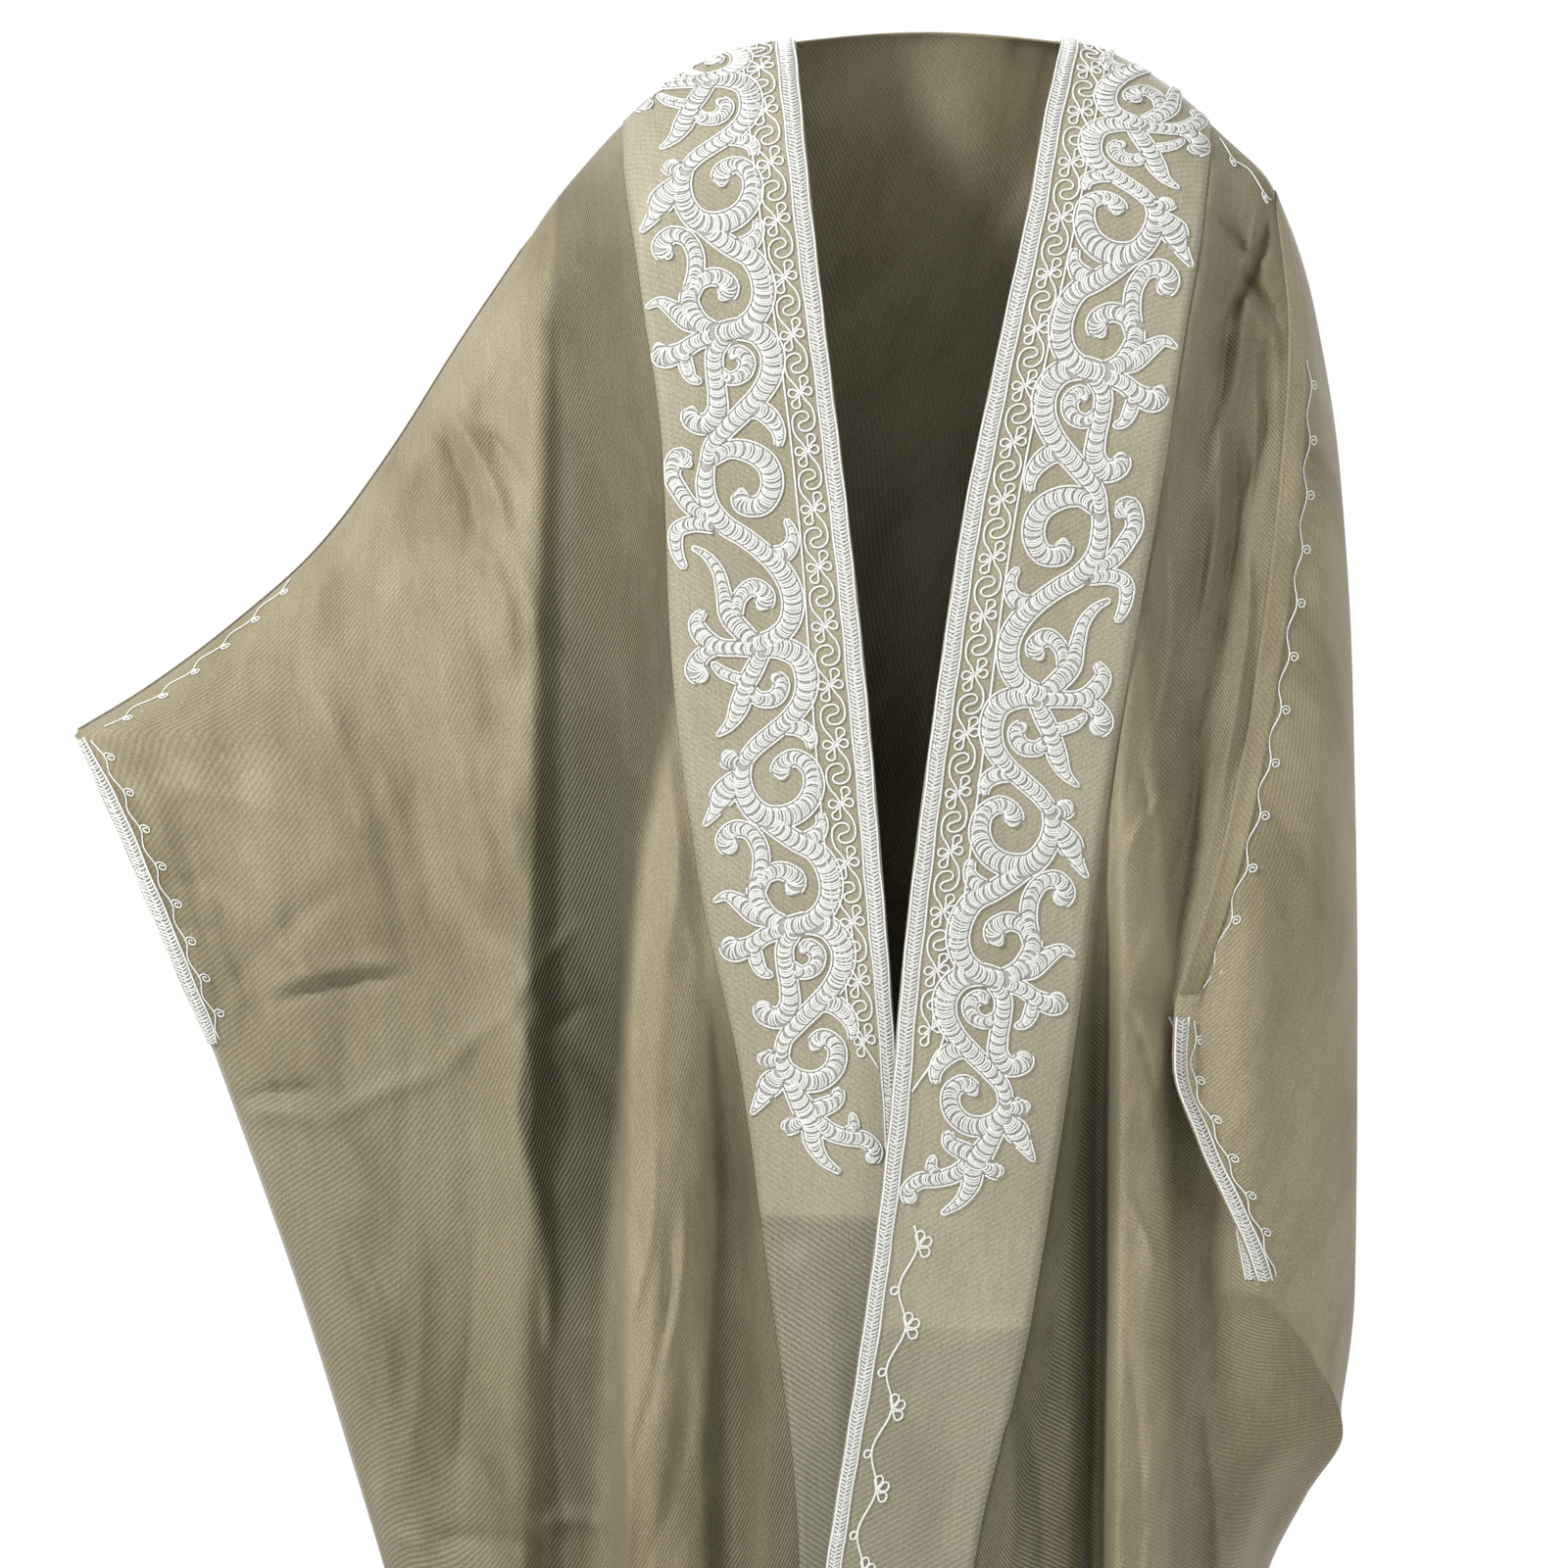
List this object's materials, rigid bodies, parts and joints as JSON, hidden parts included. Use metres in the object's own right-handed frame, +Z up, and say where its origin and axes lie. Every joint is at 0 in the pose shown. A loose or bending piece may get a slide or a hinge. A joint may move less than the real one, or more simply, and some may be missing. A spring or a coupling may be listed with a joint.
{
  "type": "bisht cloak",
  "caption": "Wide open-fronted cloak with scroll embroidery on its front bands and hand slits at its sides, worn over the shoulders.",
  "frame": {"origin": "midway between the two neck points of the shoulder seams, where the wearer's shoulders carry the cloak", "axes": "+Z up, -Y the way the wearer faces, +X towards the wearer's left"},
  "size_m": [0.8567, 0.3086, 1.5429],
  "materials": {
    "cloth": "fine olive-beige twill with a slight sheen",
    "band_cloth": "lighter beige twill",
    "thread": "couched white cord"
  },
  "bodies": {
    "root": {"front_right": "cloth", "front_left": "cloth", "back": "cloth", "seam_joint_right": "cloth", "seam_joint_left": "cloth", "band_right": "band_cloth", "band_left": "band_cloth", "edge_braid_right": "thread", "edge_braid_left": "thread", "neck_braid": "thread", "cuff_braid_right_front": "thread", "cuff_braid_right_back": "thread", "cuff_braid_left_front": "thread", "cuff_braid_left_back": "thread", "scroll_right": "thread", "scroll_left": "thread"}
  },
  "joints": []
}
